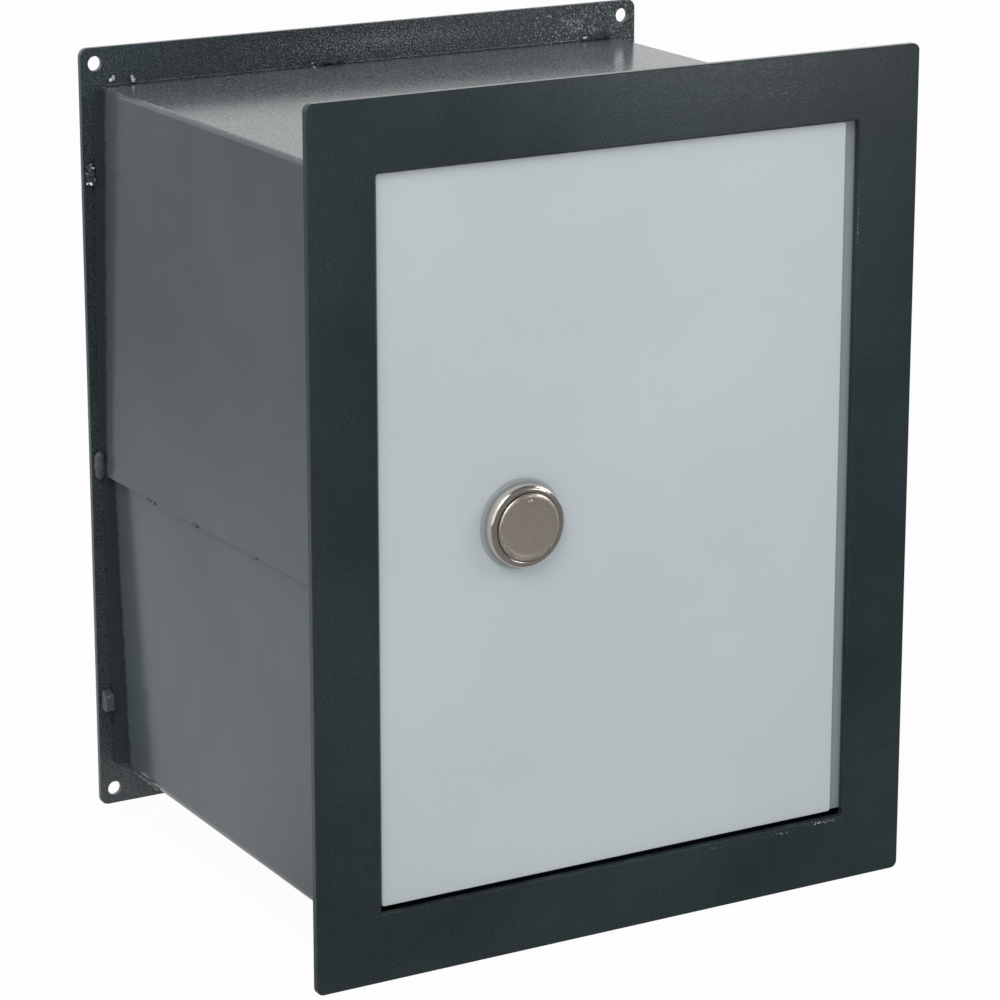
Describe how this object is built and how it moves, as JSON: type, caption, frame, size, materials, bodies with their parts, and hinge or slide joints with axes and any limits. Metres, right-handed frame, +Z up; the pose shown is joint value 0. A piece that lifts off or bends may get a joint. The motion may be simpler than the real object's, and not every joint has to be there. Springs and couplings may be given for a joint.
{
  "type": "wall safe",
  "caption": "Key-operated wall safe with a hinged door, sliding bolts, a swinging keyhole cover and a wide flange at the front and the rear.",
  "frame": {"origin": "centre of the rear plate's back face, which bears on the back of the wall niche", "axes": "+Y out of the back into the wall, -Y out of the door, +Z up, +X towards the hinges"},
  "size_m": [0.337, 0.2665, 0.43],
  "materials": {
    "dark_paint": "dark hammered paint, semi-gloss",
    "body_paint": "grey primer paint, satin",
    "door_paint": "pale grey paint, satin",
    "mid_paint": "mid grey paint, satin",
    "steel": "plain machined steel",
    "nickel": "dull nickel plate",
    "brass": "machined brass"
  },
  "bodies": {
    "safe_body": {"front_frame": "dark_paint", "rear_plate": "dark_paint", "upper_shell": "body_paint", "lower_shell": "body_paint", "hinge_bracket_upper": "dark_paint", "hinge_bracket_lower": "dark_paint", "bolt_keeper": "dark_paint", "door_stop_upper": "dark_paint", "door_stop_lower": "dark_paint"},
    "door": {"door_skin": "door_paint", "door_plate": "mid_paint", "door_rim": "mid_paint", "lock_washer": "door_paint", "lock_rosette": "nickel", "lock_body": "brass", "lock_nut": "steel", "cover_rivet": "nickel", "rack_guide": "steel", "inner_cover": "mid_paint", "hinge_knuckle_upper": "mid_paint", "hinge_knuckle_lower": "mid_paint", "hinge_pin_upper": "steel", "hinge_pin_lower": "steel", "cover_screw_1": "steel", "cover_screw_2": "steel", "cover_screw_3": "steel", "cover_screw_4": "steel"},
    "bolt_work": {"bolt_carriage": "steel", "bolt_upper": "steel", "bolt_middle": "steel", "bolt_lower": "steel"},
    "plug": {"lock_plug": "nickel", "drive_pinion": "brass"},
    "keyhole_cover": {"key_cover": "nickel"}
  },
  "joints": [
    {"name": "door_hinge", "type": "hinge", "parent": "safe_body", "child": "door", "pos_m": [0.1165, -0.244, 0], "axis": [0, 0, 1], "range_deg": [0, 100]},
    {"name": "plug_turn", "type": "hinge", "parent": "door", "child": "plug", "pos_m": [-0.055, -0.239, 0.0025], "axis": [0, 1, 0], "range_deg": [0, 180]},
    {"name": "bolt_throw", "type": "slide", "parent": "door", "child": "bolt_work", "axis": [-1, 0, 0], "range_m": [0, 0.0157]},
    {"name": "key_cover_swing", "type": "hinge", "parent": "door", "child": "keyhole_cover", "pos_m": [-0.055, -0.2644, 0.015], "axis": [0, 1, 0], "range_deg": [-110, 110]}
  ],
  "couplings": [
    {"joint": "plug_turn", "follows": "bolt_throw", "rad_per_m": 200}
  ]
}
